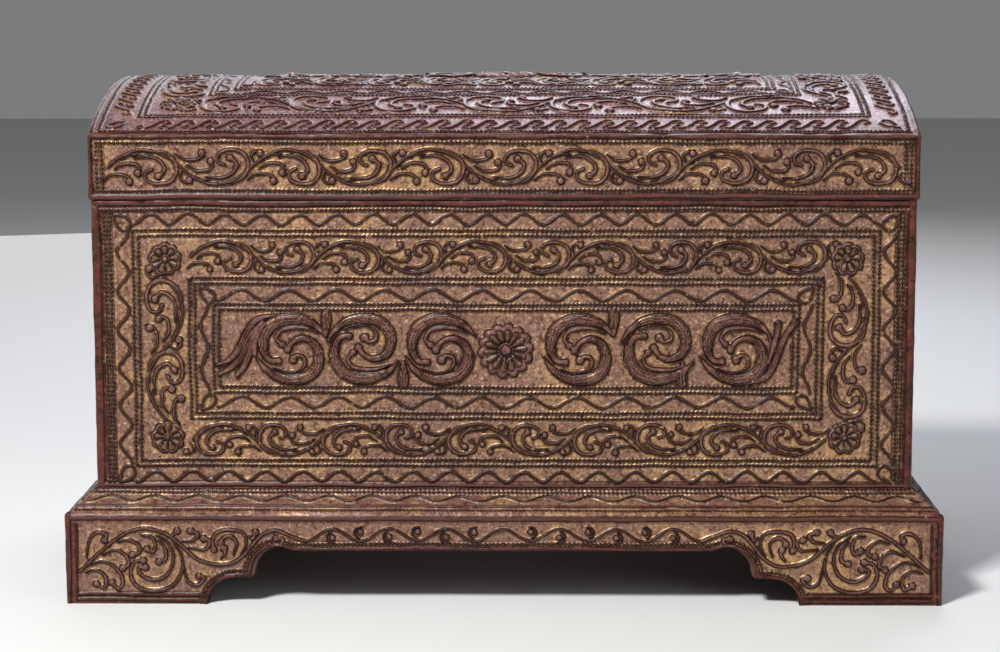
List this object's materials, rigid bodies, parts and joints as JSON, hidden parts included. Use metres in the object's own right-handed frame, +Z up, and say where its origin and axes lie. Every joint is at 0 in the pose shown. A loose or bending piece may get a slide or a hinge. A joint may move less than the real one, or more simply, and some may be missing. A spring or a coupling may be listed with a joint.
{
  "type": "chest",
  "caption": "Oblong lacquered chest with a low domed lift-off lid, all faces in gilded scroll relief, standing on a sloping moulded plinth with bracket feet",
  "frame": {"origin": "centre of the footprint, on the surface that the feet stand on", "axes": "+X to the right along the length, seen from the front; -Y towards the front; +Z up"},
  "size_m": [0.5816, 0.3416, 0.3466],
  "materials": {
    "lacquered_wood": "worn gold over brown lacquer on wood",
    "gilt_relief": "lacquer putty relief, dark red on the ridges and gold in the ground",
    "red_lacquer": "dark red lacquer, worn satin",
    "inner_wood": "thin dark red lacquer on bare wood"
  },
  "bodies": {
    "chest": {"back_corner_rosettes": "gilt_relief", "back_frames": "gilt_relief", "back_rosette": "gilt_relief", "back_scrollwork": "gilt_relief", "carcass_back_board": "lacquered_wood", "carcass_bottom_board": "inner_wood", "carcass_foot_roll": "red_lacquer", "carcass_front_board": "lacquered_wood", "carcass_left_end_board": "lacquered_wood", "carcass_right_end_board": "lacquered_wood", "carcass_rim_roll": "red_lacquer", "front_corner_rosettes": "gilt_relief", "front_frames": "gilt_relief", "front_rosette": "gilt_relief", "front_scrollwork": "gilt_relief", "left_corner_rosettes": "gilt_relief", "left_frames": "gilt_relief", "left_rosette": "gilt_relief", "left_scrollwork": "gilt_relief", "lip_back_strip": "inner_wood", "lip_front_strip": "inner_wood", "lip_left_strip": "inner_wood", "lip_right_strip": "inner_wood", "plinth_back_board": "lacquered_wood", "plinth_back_border": "red_lacquer", "plinth_back_cap": "lacquered_wood", "plinth_corner_blocks": "inner_wood", "plinth_front_board": "lacquered_wood", "plinth_front_border": "red_lacquer", "plinth_front_cap": "lacquered_wood", "plinth_left_board": "lacquered_wood", "plinth_left_border": "red_lacquer", "plinth_left_cap": "lacquered_wood", "plinth_nose_roll": "red_lacquer", "plinth_right_board": "lacquered_wood", "plinth_right_border": "red_lacquer", "plinth_right_cap": "lacquered_wood", "right_corner_rosettes": "gilt_relief", "right_frames": "gilt_relief", "right_rosette": "gilt_relief", "right_scrollwork": "gilt_relief"},
    "lid": {"lid_back_rail": "lacquered_wood", "lid_corner_rosettes": "gilt_relief", "lid_crown_rosette": "gilt_relief", "lid_frames": "gilt_relief", "lid_front_rail": "lacquered_wood", "lid_left_end": "lacquered_wood", "lid_right_end": "lacquered_wood", "lid_rim_roll": "red_lacquer", "lid_shoulder_roll": "red_lacquer", "lid_stave_1": "lacquered_wood", "lid_stave_2": "lacquered_wood", "lid_stave_3": "lacquered_wood", "lid_stave_4": "lacquered_wood", "lid_stave_5": "lacquered_wood", "lid_stave_6": "lacquered_wood", "lid_stave_7": "lacquered_wood"}
  },
  "joints": [
    {"name": "lid_lift", "type": "slide", "parent": "chest", "child": "lid", "axis": [0, 0, 1], "range_m": [0, 0.3]}
  ]
}
